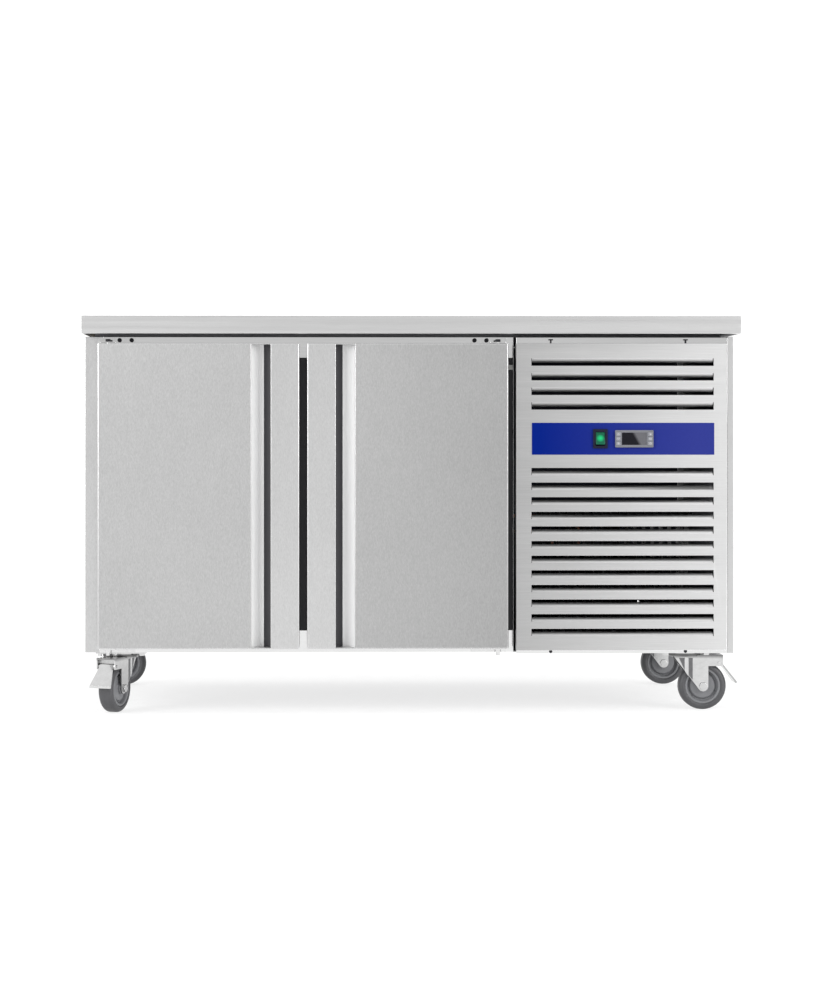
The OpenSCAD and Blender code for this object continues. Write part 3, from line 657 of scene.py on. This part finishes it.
# Painted shadow: fork tops darkened under the race.
FORK_TOP_SHADE = ("Z", FORK_TOP - 8 * MM, FORK_TOP - 1 * MM, 1.0, 0.30)
# Painted shade: the race under the caster plates darkened.
PLATE_UNDER_SHADE = ("Z", PLATE_TOP - 6 * MM, PLATE_TOP - 4 * MM, 0.22, 1.0)

STEEL = brushed("panel_steel", grey(0.63), 0.30, "X", shades=(TOP_SHADE,))
dull_top(STEEL)
STEEL_UP = brushed("upright_steel", grey(0.56), 0.33, "Z", streak=0.10, **UPRIGHT)
LEFT_DOOR = brushed("left_door_steel", grey(0.54), 0.33, "Z", streak=0.13,
                    shades=(FALL_SHADE,), **UPRIGHT)
RIGHT_DOOR = brushed("right_door_steel", grey(0.53), 0.33, "Z", streak=0.13,
                     shades=(FALL_SHADE, DOOR_SIDE_SHADE), **UPRIGHT)
# Pale, less metallic copy of the door steel for the groove's wall: a painted highlight.
GROOVE_HIGHLIGHT_STEEL = brushed("groove_highlight_steel", grey(0.97), 0.45, "Z", fine=900.0, streak=0.02,
                       long_way=0.25, bands=0.1)
tune(GROOVE_HIGHLIGHT_STEEL, "Metallic", 0.3)
STEEL_GRILLE = brushed("grille_steel", grey(0.76), 0.30, "X", fine=900.0, streak=0.07, bands=0.4,
                       shades=(FALL_SHADE, GRILLE_SIDE_SHADE), shade_facing=(0, 1, 0))
FRAME_STEEL = brushed("frame_steel", grey(0.68), 0.08, "X", anisotropic=0.0, bands=0.3,
                      shade_facing=(0, 1, 0))
SIDE_STEEL = brushed("side_steel", grey(0.58), 0.31, "Z", fine=900.0, streak=0.05, long_way=0.25,
                     bands=0.2, shade_facing=(-1, 0, 0))
FLOOR_STEEL = brushed("base_steel", (0.16, 0.16, 0.17), 0.5, "X", anisotropic=0.2)
BACK_STEEL = brushed("back_steel", (0.50, 0.51, 0.52), 0.42, "X", anisotropic=0.2,
                     shade_facing=(0, -1, 0))
LINER = brushed("liner_steel", grey(0.66), 0.36, "Z", anisotropic=0.2)
ZINC = metal("zinc_steel", grey(0.60), 0.15, 0.05, grain=90.0, bump=0.05)
FORK_ZINC = metal("fork_zinc", grey(0.58), 0.15, 0.06, grain=90.0, bump=0.05, shades=(FORK_TOP_SHADE,))
PLATE_ZINC = metal("plate_zinc", grey(0.60), 0.18, 0.06, grain=90.0, bump=0.05,
                   shades=(PLATE_UNDER_SHADE,))
# Dark zinc for the fork recesses: painted shade.
RECESS_SHADE = metal("recess_shade_zinc", (0.17, 0.17, 0.175), 0.30, 0.15)
BRACKET = metal("bracket_zinc", grey(0.66), 0.10, 0.06)
DARK_METAL = metal("black_steel", (0.03, 0.03, 0.033), 0.45, 0.25)
COPPER = metal("copper", (0.72, 0.36, 0.22), 0.30, 0.12)
FINS = metal("fin_metal", (0.55, 0.56, 0.58), 0.38, 0.15)
PLASTIC = matt("dark_plastic", (0.013, 0.013, 0.018), 0.45)
# Near-black sheet in the groove under the lip: painted shade.
GROOVE_SHADE = matt("groove_shade_plastic", (0.026, 0.025, 0.030), 0.5)
FOAM = matt("foam", (0.62, 0.52, 0.26), 0.9, grain=900, bump=0.6)
WIRE = matt("coated_wire", (0.70, 0.71, 0.72), 0.38, coat=0.3)
INNER = matt("inner_plastic", (0.66, 0.66, 0.65), 0.40, vary=0.03)
RUBBER = matt("gasket_rubber", (0.035, 0.036, 0.038), 0.62)
TYRE = matt("wheel_rubber", (0.054, 0.054, 0.058), 0.50, vary=0.16)
HUB = matt("wheel_hub", (0.155, 0.157, 0.165), 0.48)
GREY = matt("controller_grey", (0.125, 0.128, 0.145), 0.42)
KEY_GREY = matt("key_grey", (0.20, 0.205, 0.225), 0.45)
MARK = matt("key_mark", (0.45, 0.45, 0.46), 0.50)
BEZEL = matt("bezel_black", (0.006, 0.007, 0.018), 0.6)
tune(BEZEL, "Specular IOR Level", 0.15)
CLIP = matt("clip_white", (0.72, 0.72, 0.70), 0.40)


def blue_film(name):
    """Coloured film of the fascia, a little redder and paler towards the right as a painted sheen.
    """
    mat, nodes, links, shader = new_material(name)
    low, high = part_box("fascia_strip")
    along = stretch(nodes, links, axis_place(nodes, links, "X"), low.x, high.x)
    # Painted sheen: the film paler and redder towards the right.
    colour = tone(nodes, links, along, (0.0004, 0.010, 0.150), (0.022, 0.030, 0.185), 0.05, 0.9)
    grain = noise(nodes, links, mapped(nodes, links, (1, 1, 1)), 260)
    colour = veiled(nodes, links, colour, grain, 0.3, 0.8)
    worn = (0.05, 0.06, 0.25)
    colour = blend_colours(nodes, links, "MIX", edge_mask(nodes, links, 0.0006), colour, worn)
    links.new(colour, shader.inputs["Base Color"])
    links.new(ranged(nodes, links, grain, 0.30, 0.38), shader.inputs["Roughness"])
    shader.inputs["Specular IOR Level"].default_value = 0.04
    return mat


def foam_and_board():
    """Foam colour up to the top of the body, and above it the board under the worktop, coloured
    dark grey as painted shade of the gap there.
    """
    mat = matt("foam_and_board", (0.62, 0.52, 0.26), 0.9, grain=900, bump=0.6)
    nodes, links = mat.node_tree.nodes, mat.node_tree.links
    shader = nodes["Principled BSDF"]
    foam = shader.inputs["Base Color"].links[0].from_socket
    body_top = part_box("front_frame")[1].z
    over = above(nodes, links, axis_place(nodes, links, "Z"), body_top + 0.1 * MM)
    fibres = noise(nodes, links, mapped(nodes, links, (1, 0.2, 1)), 400)
    # Painted shade: the board coloured dark grey.
    board = tone(nodes, links, fibres, (0.115, 0.115, 0.125), (0.145, 0.145, 0.155))
    colour = blend_colours(nodes, links, "MIX", over, foam, board)
    links.new(colour, shader.inputs["Base Color"])
    return mat


def lit_green(name):
    """Green rocker, brighter in its middle where the lamp stands."""
    mat, nodes, links, shader = new_material(name)
    low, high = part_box("switch_rocker")
    middle = (low + high) / 2
    coord = nodes.new("ShaderNodeTexCoord")
    away = nodes.new("ShaderNodeVectorMath")
    away.operation = "DISTANCE"
    away.inputs[1].default_value = middle
    links.new(coord.outputs["Object"], away.inputs[0])
    spread = stretch(nodes, links, away.outputs["Value"], 0.0, (high.z - low.z) * 0.55)
    colour = tone(nodes, links, spread, (0.004, 0.40, 0.13), (0.001, 0.075, 0.038), 0.12, 0.62)
    grain = noise(nodes, links, mapped(nodes, links, (1, 1, 1)), 700)
    colour = veiled(nodes, links, colour, grain, 0.25, 0.8)
    links.new(colour, shader.inputs["Base Color"])
    links.new(colour, shader.inputs["Emission Color"])
    shader.inputs["Emission Strength"].default_value = 0.12
    shader.inputs["Roughness"].default_value = 0.25
    shader.inputs["Specular IOR Level"].default_value = 0.3
    return mat


def smoky_window(name):
    """Black window in front of the display, with a painted reflection that makes its right side
    paler, cut off at a slant.
    """
    mat, nodes, links, shader = new_material(name)
    low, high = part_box("controller_case")
    lean = 0.55
    slant = nodes.new("ShaderNodeMath")
    slant.operation = "MULTIPLY_ADD"
    slant.inputs[1].default_value = lean
    links.new(axis_place(nodes, links, "Z"), slant.inputs[0])
    links.new(axis_place(nodes, links, "X"), slant.inputs[2])
    middle = (low.x + high.x) / 2 + (low.z + high.z) / 2 * lean
    # Painted reflection across the window's right side.
    sheen = stretch(nodes, links, slant.outputs[0], middle + 2 * MM, middle + 9 * MM)
    grain = noise(nodes, links, mapped(nodes, links, (1, 1, 1)), 300)
    colour = tone(nodes, links, sheen, (0.004, 0.004, 0.007), (0.10, 0.10, 0.11), 0.0, 1.0)
    colour = veiled(nodes, links, colour, grain, 0.3, 0.7)
    links.new(colour, shader.inputs["Base Color"])
    shader.inputs["Roughness"].default_value = 0.12
    shader.inputs["Specular IOR Level"].default_value = 0.2
    return mat


# Body

def make_body():
    shaped("worktop", STEEL, bend=1.8, small=0.25)
    shaped("left_side_panel", STEEL_UP, bend=2.0, small=0.25)
    shaped("right_side_panel", SIDE_STEEL, bend=2.0, small=0.25)
    shaped("rear_panel", BACK_STEEL, small=0.25)
    shaped("base_panel", FLOOR_STEEL, small=0.0)
    shaped("front_frame", FRAME_STEEL, bend=1.6, small=0.0)
    shaped("mullions", PLASTIC, bend=1.5, small=0.4)
    shaped("shelf_rails", LINER, bend=0.8, small=0.2)
    shaped("evaporator_cover", LINER, bend=2.0, small=0.0)
    shaped("hinge_brackets", BRACKET, bend=0.6, small=0.25)
    shaped("cable_gland", PLASTIC, small=0.5)
    shaped("drain_tray", PLASTIC, bend=1.5, small=0.4)
    make_gap_clip()
    give(LINER, "inner_liner")
    give(FOAM, "door_foam_left", "door_foam_right")
    give(foam_and_board(), "insulation")
    give(WIRE, "wire_shelves")
    give(FINS, "evaporator")
    give(DARK_METAL, "condenser_coil")
    give(COPPER, "refrigerant_pipes")
    shaped("compressor", DARK_METAL, small=1.0)
    shaped("condenser_fan_motor", DARK_METAL, small=1.0)
    shaped("condenser_fan_blade", PLASTIC, small=0.4)
    shaped("evaporator_fan_blade", PLASTIC, small=0.4)


def make_gap_clip():
    """Light clip near the top of the gap beside the right door, on the front of the body."""
    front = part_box("hinge_brackets")[1].y
    low = (DOOR_HIGH.x + 2 * MM, front - 2.4 * MM, DOOR_HIGH.z - 53 * MM)
    high = (GRILLE_LOW.x - 3 * MM, front - 0.1 * MM, DOOR_HIGH.z - 43 * MM)
    settle(box_piece("gap_clip", low, high, 0.4 * MM), CLIP, "cabinet", "inner_plastic")


# Doors

def door_frame(side):
    """Returns the mapping from a door's own measures in mm to the row frame. They are the distance
    from its opening edge, the distance from its front, and the height."""
    low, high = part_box("door_skin_" + side)
    if side == "left":
        return lambda u, v, z: (high.x - u * MM, low.y + v * MM, low.z + z * MM)
    return lambda u, v, z: (low.x + u * MM, low.y + v * MM, low.z + z * MM)


def make_door(side):
    node = "door_skin_" + side
    body = body_of(node)
    steel = LEFT_DOOR if side == "left" else RIGHT_DOOR
    low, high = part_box(node)
    width, depth, tall = [(h - l) / MM for l, h in zip(low, high)]
    place = door_frame(side)
    strip, lip, sheet, end_gap = 59.0, 2.4, 1.1, 1.3
    centre_u, centre_v, radius, steps = 70.0, 1.2, 29.0, 30
    start = math.asin((lip - centre_v) / radius)
    angles = [start + (math.pi - start) * k / steps for k in range(steps + 1)]
    arc = [(centre_u - radius * math.cos(a), centre_v + radius * math.sin(a), 0) for a in angles]
    fold = arc[-1][0]
    corners = [(0, depth, 0), (0, 0, 2.6), (strip, 0, 1.15), (strip, lip, 1.15), *arc[:-1],
               (fold, 0, 1.6), (width, 0, 3.4), (width, depth, 0)]
    skin = folded_sheet(node + "_sheet", rounded_path(corners), sheet, end_gap, tall - end_gap,
                        place)
    settle(skin, steel, body, "panel_steel", node)
    skin.data.materials.append(GROOVE_HIGHLIGHT_STEEL)
    skin.data.materials.append(STEEL_UP)
    colour_groove(skin, place(centre_u, centre_v, 0), (radius + 0.4) * MM, low.y + 2.6 * MM,
                  place(0, 0, 0)[0], strip * MM)
    rim = rounded_path([(0, depth, 0), (0, 0, 2.6), (width, 0, 3.4), (width, depth, 0)])
    bush, thick, ease = (width - 20, 27, 6.2), 2.4, 1.1
    for name, z in (("bottom", 0.0), ("top", tall - thick)):
        end = plate(f"{node}_{name}", rim, [bush], z, z + thick, place, ease)
        settle(end, steel, body, "panel_steel")
    # A near-black sheet just inside the groove's wall, as painted shade under the lip.
    lined, inset_to = radius - 0.5, 74.0
    angles = [start + (math.pi - 2 * start) * k / 24 for k in range(25)]
    inset = [Vector((centre_u - lined * math.cos(a), centre_v + lined * math.sin(a)))
             for a in angles]
    inset = [p for p in inset if p.x < inset_to]
    groove_shade_sheet = folded_sheet("groove_shade_sheet_" + side, inset, -0.8, end_gap, tall - end_gap, place)
    settle(groove_shade_sheet, GROOVE_SHADE, body, "dark_plastic")
    shaped("door_inner_panel_" + side, INNER, bend=3.0, small=0.4)
    shaped("door_gasket_" + side, RUBBER, bend=1.2, small=0.4)
    shaped("door_hinge_bushes_" + side, PLASTIC, small=0.3)


def colour_groove(skin, middle, mouth, behind, edge, strip):
    """Gives a door skin's groove its second material, a pale copy of the steel as painted
    highlight, and the strip beside it its third.
    """
    for face in skin.data.polygons:
        away = math.hypot(face.center.x - middle[0], face.center.y - middle[1])
        if away < mouth and face.center.y > behind:
            face.material_index = 1
        elif abs(face.center.x - edge) < strip:
            face.material_index = 2


# Controls

def make_controls():
    shaped("grille_panel", STEEL_GRILLE, bend=2.6, reach=8.0, small=0.2)
    shaped("fascia_strip", blue_film("fascia_blue"), small=0.3)
    shaped("switch_bezel", BEZEL, bend=1.2, small=0.4)
    shaped("switch_rocker", lit_green("rocker_green"), bend=1.0, small=0.4)
    shaped("controller_case", GREY, bend=1.6, small=0.3)
    low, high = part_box("controller_case")
    middle = (low + high) / 2
    wide, tall = 25.6 * MM, 12.6 * MM
    window = box_piece("display_window", (middle.x - wide, low.y + 0.25 * MM, middle.z - tall),
                       (middle.x + wide, low.y + 0.75 * MM, middle.z + tall), 0.15 * MM)
    settle(window, smoky_window("display_window"), "cabinet", "dark_plastic")
    for name in KEYS:
        shaped("key_" + name, KEY_GREY, bend=0.7, small=0.3)
        make_key_mark(name)


def make_key_mark(name):
    """Raised sign on a key."""
    low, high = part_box("key_" + name)
    cx, cz, front = (low.x + high.x) / 2, (low.z + high.z) / 2, low.y
    size, thick = 2.1 * MM, 0.18 * MM

    def at(x, z):
        return (cx + size * x, front, cz + size * z)

    def ray(angle, *reaches):
        return [at(r * math.cos(angle), r * math.sin(angle)) for r in reaches]

    def arc(radius, start, turn, points):
        angles = [math.radians(start + turn * k / 28) for k in range(points)]
        return [at(radius * math.cos(a), radius * math.sin(a)) for a in angles]

    signs = {
        "up": [[at(-1, -0.5), at(0, 0.7), at(1, -0.5)]],
        "down": [[at(-1, 0.5), at(0, -0.7), at(1, 0.5)]],
        "light": [arc(0.45, 0, 360, 28)] + [ray(k * math.pi / 4, 0.7, 1.05) for k in range(8)],
        "defrost": [ray(math.pi / 6 + k * math.pi / 3, -1, 1) for k in range(3)],
        "set": [[at(-0.9, -0.8), at(0.9, -0.8), at(0.9, 0.8), at(-0.9, 0.8), at(-0.9, -0.8)],
                [at(-0.4, 0), at(0.4, 0)]],
        "power": [arc(0.9, 125, 290, 29), [at(0, 0), at(0, 1.1)]],
    }
    for i, stroke in enumerate(signs[name]):
        line = tube(f"key_mark_{name}_{i}", stroke, thick, name == "light" and i == 0)
        settle(line, MARK, body_of("key_" + name), "controller_grey")


# Casters

def joint_line(name):
    """Returns a joint's point and unit axis in the row frame."""
    joint = next(j for j in frame["joints"] if j["name"] == name)
    return Vector(joint["pos_m"]), Vector(joint["axis"]).normalized()


def make_caster(corner):
    """Tyre, hub, fork and axle of one caster, and a thin dark ring at its race as painted shade.
    Its profiles are in mm.
    """
    node = "caster_wheel_" + corner
    body = body_of(node)
    low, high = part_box(node)
    spin, axis = joint_line(corner + "_wheel_spin")
    centre = Vector((spin.x, spin.y, (low.z + high.z) / 2))
    radius = (high.z - low.z) / 2 / MM
    rim, half, tread = radius - 13, 16.0, 9.0
    crown, quarter = radius - tread, [math.pi / 2 * k / 8 for k in range(9)]
    tyre = [(rim + 0.1, -half + 1.4), (rim + 1.6, -half + 0.2), (rim + 4.2, -half)]
    tyre += [(crown + tread * math.sin(a), -half + tread - tread * math.cos(a)) for a in quarter]
    tyre += [(crown + tread * math.cos(a), half - tread + tread * math.sin(a)) for a in quarter]
    tyre += [(rim + 4.2, half), (rim + 1.6, half - 0.2), (rim + 0.1, half - 1.4)]
    ring = lathe("tyre_" + corner, tyre, centre, axis, 72)
    settle(ring, TYRE, body, "wheel_rubber", node)
    face = [(5.06, 18.0), (11.2, 18.0), (12.0, 17.2), (12.0, 13.2), (13.0, 12.2), (20.0, 11.8),
            (rim - 12, 11.2), (rim - 10.2, 8.6), (rim - 8, 6.8), (rim - 6.4, 8.0),
            (rim - 5.2, 13.4), (rim - 3.6, 15.2), (rim - 0.6, 15.2), (rim, 14.4)]
    hub = lathe("hub_" + corner, [(r, -d) for r, d in face] + face[::-1], centre, axis, 72)
    settle(hub, HUB, body, "dark_plastic")
    shaped("caster_fork_" + corner, FORK_ZINC, small=0.5)
    make_leg_ribs(corner)
    shaped("caster_axle_" + corner, ZINC, small=0.5)
    pin, _ = joint_line(corner + "_caster_swivel")
    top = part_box("caster_fork_" + corner)[1].z
    # Thin dark ring on the fork's top: painted shade in the gap under the race.
    race_shade_ring = lathe("race_gap_shade_" + corner, [(26.0, 0.08), (31.0, 0.08), (31.4, 0.45), (26.0, 0.45)],
                 Vector((pin.x, pin.y, top)), (0, 0, 1), 48)
    settle(race_shade_ring, DARK_METAL, body_of("caster_fork_" + corner), "zinc_steel")


def make_leg_ribs(corner):
    """Pressed ribs on the outside of a fork's two legs, and thin dark plates where its pressed
    recesses are, as painted shade. Their outlines are (distance from the swivel's axis, height) in
    mm."""
    wheel, _ = joint_line(corner + "_wheel_spin")
    pin, _ = joint_line(corner + "_caster_swivel")
    along = Vector((wheel.x - pin.x, wheel.y - pin.y, 0)).normalized()
    side = Vector((-along.y, along.x, 0))
    top, out = FORK_TOP / MM, 21.5
    rib = [(0, top - 5), (6.5, top - 5), (6.5, 72), (0, 80)]
    recesses = [[(-13, top - 6), (-1, top - 6), (-1, 83)],
                [(7.5, top - 6), (16, top - 6), (16, 63), (7.5, 73)]]

    def spot(a, z, outwards):
        return Vector((pin.x, pin.y, z * MM)) + along * (a * MM) + side * (outwards * MM)

    for name, outlines, height, mat in (("rib", [rib], 1.0, ZINC),
                                        ("recess_shade", recesses, 0.25, RECESS_SHADE)):
        levels = ((-0.1, 0.0), (height * 0.5, 0.0), (height, height * 0.5))
        bm = bmesh.new()
        for outline in outlines:
            count = len(outline)
            centre = sum(a for a, _ in outline) / count
            for sign in (-1, 1):
                rings = [[bm.verts.new(spot(a + (inset if a < centre else -inset), z,
                                            sign * (out + rise))) for a, z in outline]
                         for rise, inset in levels]
                for low, high in zip(rings, rings[1:]):
                    for k in range(count):
                        j = (k + 1) % count
                        bm.faces.new((low[k], low[j], high[j], high[k]))
                bm.faces.new(rings[0])
                bm.faces.new(rings[-1])
        obj = mesh_object(f"fork_{name}_{corner}", bm, 40.0)
        settle(obj, mat, body_of("caster_fork_" + corner), "zinc_steel")


def make_casters():
    for corner in CORNERS:
        make_caster(corner)
    shaped("caster_plates", PLATE_ZINC, small=0.4)
    give(ZINC, "caster_bolts")
    for corner in CORNERS[:2]:
        shaped("brake_pedal_" + corner, ZINC, bend=1.2, small=0.5)


def make_screws():
    """Clips that hold the grille panel at its top, and domed cross-head screws at its bottom."""
    low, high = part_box("panel_screws")
    radius = 3.4
    y, top, bottom = high.y, high.z - radius * MM, low.z + radius * MM
    angles = [k * math.pi / 12 for k in range(1, 7)]
    dome = [(0, 3.0)] + [(radius * math.sin(a), 1.0 + 1.6 * math.cos(a)) for a in angles]
    dome += [(radius, 0.1), (0, 0.1)]
    clip = (("stem", -1.4, -5.7, 1.4, 2.0, 4.2), ("bar", -4.6, 1.0, 4.6, 3.4, 4.0))
    for i, x in enumerate((low.x + radius * MM, high.x - radius * MM)):
        for name, x0, z0, x1, z1, out in clip:
            piece = box_piece(f"clip_{name}_{i}", (x + x0 * MM, y - out * MM, top + z0 * MM),
                              (x + x1 * MM, y - 0.3 * MM, top + z1 * MM), 0.3 * MM)
            settle(piece, DARK_METAL, "cabinet", "zinc_steel", "panel_screws")
        head = lathe(f"screw_head_{i}", dome, Vector((x, y, bottom)), (0, -1, 0), 32)
        settle(head, DARK_METAL, "cabinet", "zinc_steel", "panel_screws")
        # Dark raised bars stand in for the cross recess of each head: painted shade.
        for k, (w, h) in enumerate(((1.9, 0.45), (0.45, 1.9))):
            slot = box_piece(f"screw_slot_shade_{i}_{k}", (x - w * MM, y - 3.15 * MM, bottom - h * MM),
                             (x + w * MM, y - 2.2 * MM, bottom + h * MM), 0.1 * MM)
            settle(slot, PLASTIC, "cabinet", "zinc_steel", "panel_screws")


def make_hinge_screws():
    """Dark socket screws that hold the upper hinge brackets, and caps over the upper hinge pins."""
    low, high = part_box("hinge_brackets")
    door_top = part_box("door_skin_left")[1].z
    y = high.y - 4.6 * MM
    head = [(1.7, 1.2), (1.7, 3.0), (3.6, 3.0), (4.4, 2.4), (4.4, 0.1), (0, 0.1), (0, 1.2)]
    places = [low.x + d * MM for d in (42, 67)] + [high.x - d * MM for d in (42, 67)]
    for i, x in enumerate(places):
        screw = lathe(f"hinge_screw_{i}", head, Vector((x, y, door_top + 8 * MM)), (0, -1, 0), 32)
        settle(screw, DARK_METAL, "cabinet", "zinc_steel")
    cap = [(0, 3.7), (5.4, 3.7), (5.4, 8.6), (4.6, 9.4), (0, 9.4)]
    for side in ("left", "right"):
        pin, _ = joint_line(side + "_door_hinge")
        piece = lathe("pin_cap_" + side, cap, Vector((pin.x, pin.y, door_top)), (0, 0, 1), 36)
        settle(piece, DARK_METAL, "cabinet", "zinc_steel")


make_world()
make_camera()
make_stage()
make_body()
for door_side in ("left", "right"):
    make_door(door_side)
make_controls()
make_casters()
make_screws()
make_hinge_screws()

softbox("key_left", (-3.9, -3.3, 2.0), (0, 0, 0.5), (2.2, 2.8), 130)
softbox("key_right", (4.0, -3.2, 2.0), (0.2, 0, 0.5), (2.2, 2.8), 130)
softbox("top", (0, -0.6, 3.8), (0, 0, 0.4), (4.0, 2.0), 15)

bpy.context.scene.view_settings.view_transform = "Standard"
